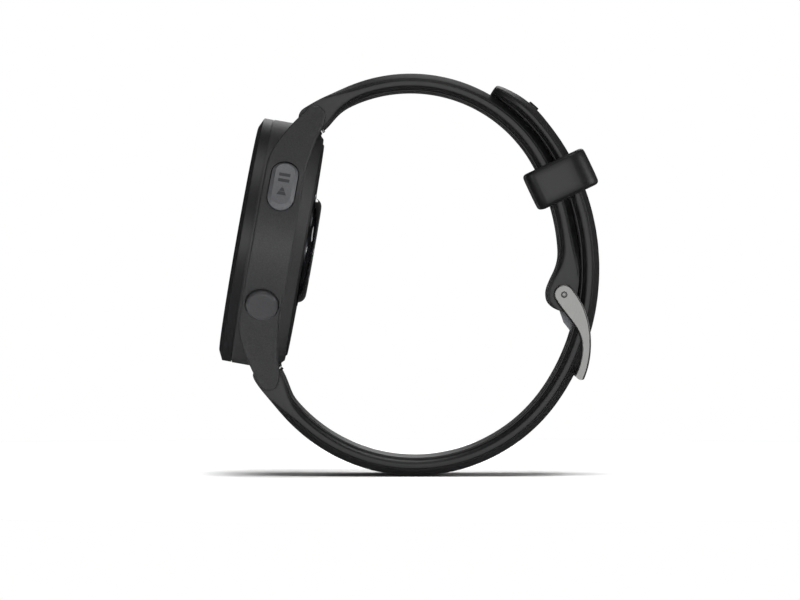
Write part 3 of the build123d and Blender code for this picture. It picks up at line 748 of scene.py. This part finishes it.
def makeWindows(name, spots, size, material):
    bm = bmesh.new()
    place = casePlace(sensorCentre, -faceOut)
    for across, up in spots:
        shape = Matrix.Diagonal((size * mm, size * mm, 2 * windowShape["proud"] * mm, 1))
        move = Matrix.Translation((across * mm, up * mm, 0))
        made = bmesh.ops.create_cube(bm, size=1.0, matrix=place @ move @ shape)
        sides = {e for v in made["verts"] for e in v.link_edges
                 if abs((e.verts[0].co - e.verts[1].co).normalized().dot(faceOut)) > 0.9}
        bmesh.ops.bevel(bm, geom=list(sides), offset=size * windowShape["corner"] * mm, affect="EDGES",
                        segments=3, profile=0.5, material=-1)
    makePiece(bm, name, "case", material, smooth=False)


reach = windowShape["reach"]
makeWindows("sensor_light_window", ((0, 0),), windowShape["lightSize"], looks["led_package"])
makeWindows("sensor_detector_windows", ((reach, 0), (-reach, 0), (0, reach), (0, -reach)),
            windowShape["size"], looks["photodiode"])
print("sensor windows made")

# Stage, light and camera
stageValues = {"floorSize": 0.2, "floorDrop": 0.05, "fill": 0.05, "lens": 300.0, "frameWidth": 0.15016,
               "elevation": 0.6, "aim": (-0.00225, 0.0, -0.00482)}
# Place and width in metres, power in watts
lights = {
    "keySoftbox": {"place": (0.02, -1.15, 0.02), "size": 0.3, "power": 2.7},
    "topSoftbox": {"place": (0.05, -0.25, 0.8), "size": 0.5, "power": 1.6},
    "backSoftbox": {"place": (0.1, 1.1, 0.6), "size": 0.6, "power": 2},
    "sideSoftbox": {"place": (-0.75, -0.75, -0.1), "size": 0.3, "power": 1.1},
    "rightSoftbox": {"place": (1.1, -0.15, 0.3), "size": 0.5, "power": 3},
}
floorLight = {"place": (0.0, -0.1, 0.8), "target": (0, 0, -0.03), "size": 0.9, "power": 12,
              "glossy": False}


def makeFloor():
    material, tree, shader = newMaterial("paperSweepWhite", "#FAFAFA", 0.9)
    noise = grainBump(tree, shader, 1.5, 0.01)
    mottle(tree, shader, "#F8F8F8", "#FCFCFC", noise.outputs["Fac"])
    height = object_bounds()[0][2] - stageValues["floorDrop"] * mm
    bm = bmesh.new()
    bmesh.ops.create_circle(bm, cap_ends=True, segments=64, radius=stageValues["floorSize"])
    bmesh.ops.transform(bm, matrix=Matrix.Translation((0, 0, height)), verts=bm.verts)
    mesh = bpy.data.meshes.new("floor")
    bm.to_mesh(mesh)
    bm.free()
    mesh.materials.append(material)
    floor = bpy.data.objects.new("floor", mesh)
    bpy.context.scene.collection.objects.link(floor)
    floor.visible_glossy = False
    floor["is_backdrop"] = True
    lit = bpy.data.collections.new("floorLit")
    lit.objects.link(floor)
    return lit


def makeWorld():
    world = bpy.data.worlds.new("studio")
    world.use_nodes = True
    tree = world.node_tree
    background = tree.nodes["Background"]
    background.inputs["Color"].default_value = (1, 1, 1, 1)
    path = addNode(tree, "ShaderNodeLightPath")
    strength = addNode(tree, "ShaderNodeMapRange", {"To Min": stageValues["fill"], "To Max": 1.0},
                       Value=path.outputs["Is Camera Ray"])
    tree.links.new(strength.outputs["Result"], background.inputs["Strength"])
    bpy.context.scene.world = world


def addLight(name, place, size, power, target=(0, 0, 0), glossy=True, onlyOn=None):
    data = bpy.data.lights.new(name, "AREA")
    data.shape = "DISK"
    data.size = size
    data.energy = power
    light = bpy.data.objects.new(name, data)
    light.visible_glossy = glossy
    if onlyOn:
        light.light_linking.receiver_collection = onlyOn
    light.location = place
    light.rotation_euler = (Vector(target) - Vector(place)).to_track_quat("-Z", "Y").to_euler()
    bpy.context.scene.collection.objects.link(light)


def makeCamera():
    data = bpy.data.cameras.new("camera")
    data.lens = stageValues["lens"]
    data.sensor_width = 36.0
    data.clip_end = 20
    distance = stageValues["frameWidth"] * data.lens / data.sensor_width
    lift = radians(stageValues["elevation"])
    aim = Vector(stageValues["aim"])
    camera = bpy.data.objects.new("camera", data)
    camera.location = aim + Vector((0, -cos(lift), sin(lift))) * distance
    camera.rotation_euler = (pi / 2 - lift, 0, 0)
    bpy.context.scene.collection.objects.link(camera)
    bpy.context.scene.camera = camera


floorLit = makeFloor()
makeWorld()
for name, values in lights.items():
    addLight(name, **values)
addLight("floorSoftbox", onlyOn=floorLit, **floorLight)
makeCamera()
bpy.context.scene.view_settings.view_transform = "Standard"
print("stage ready")
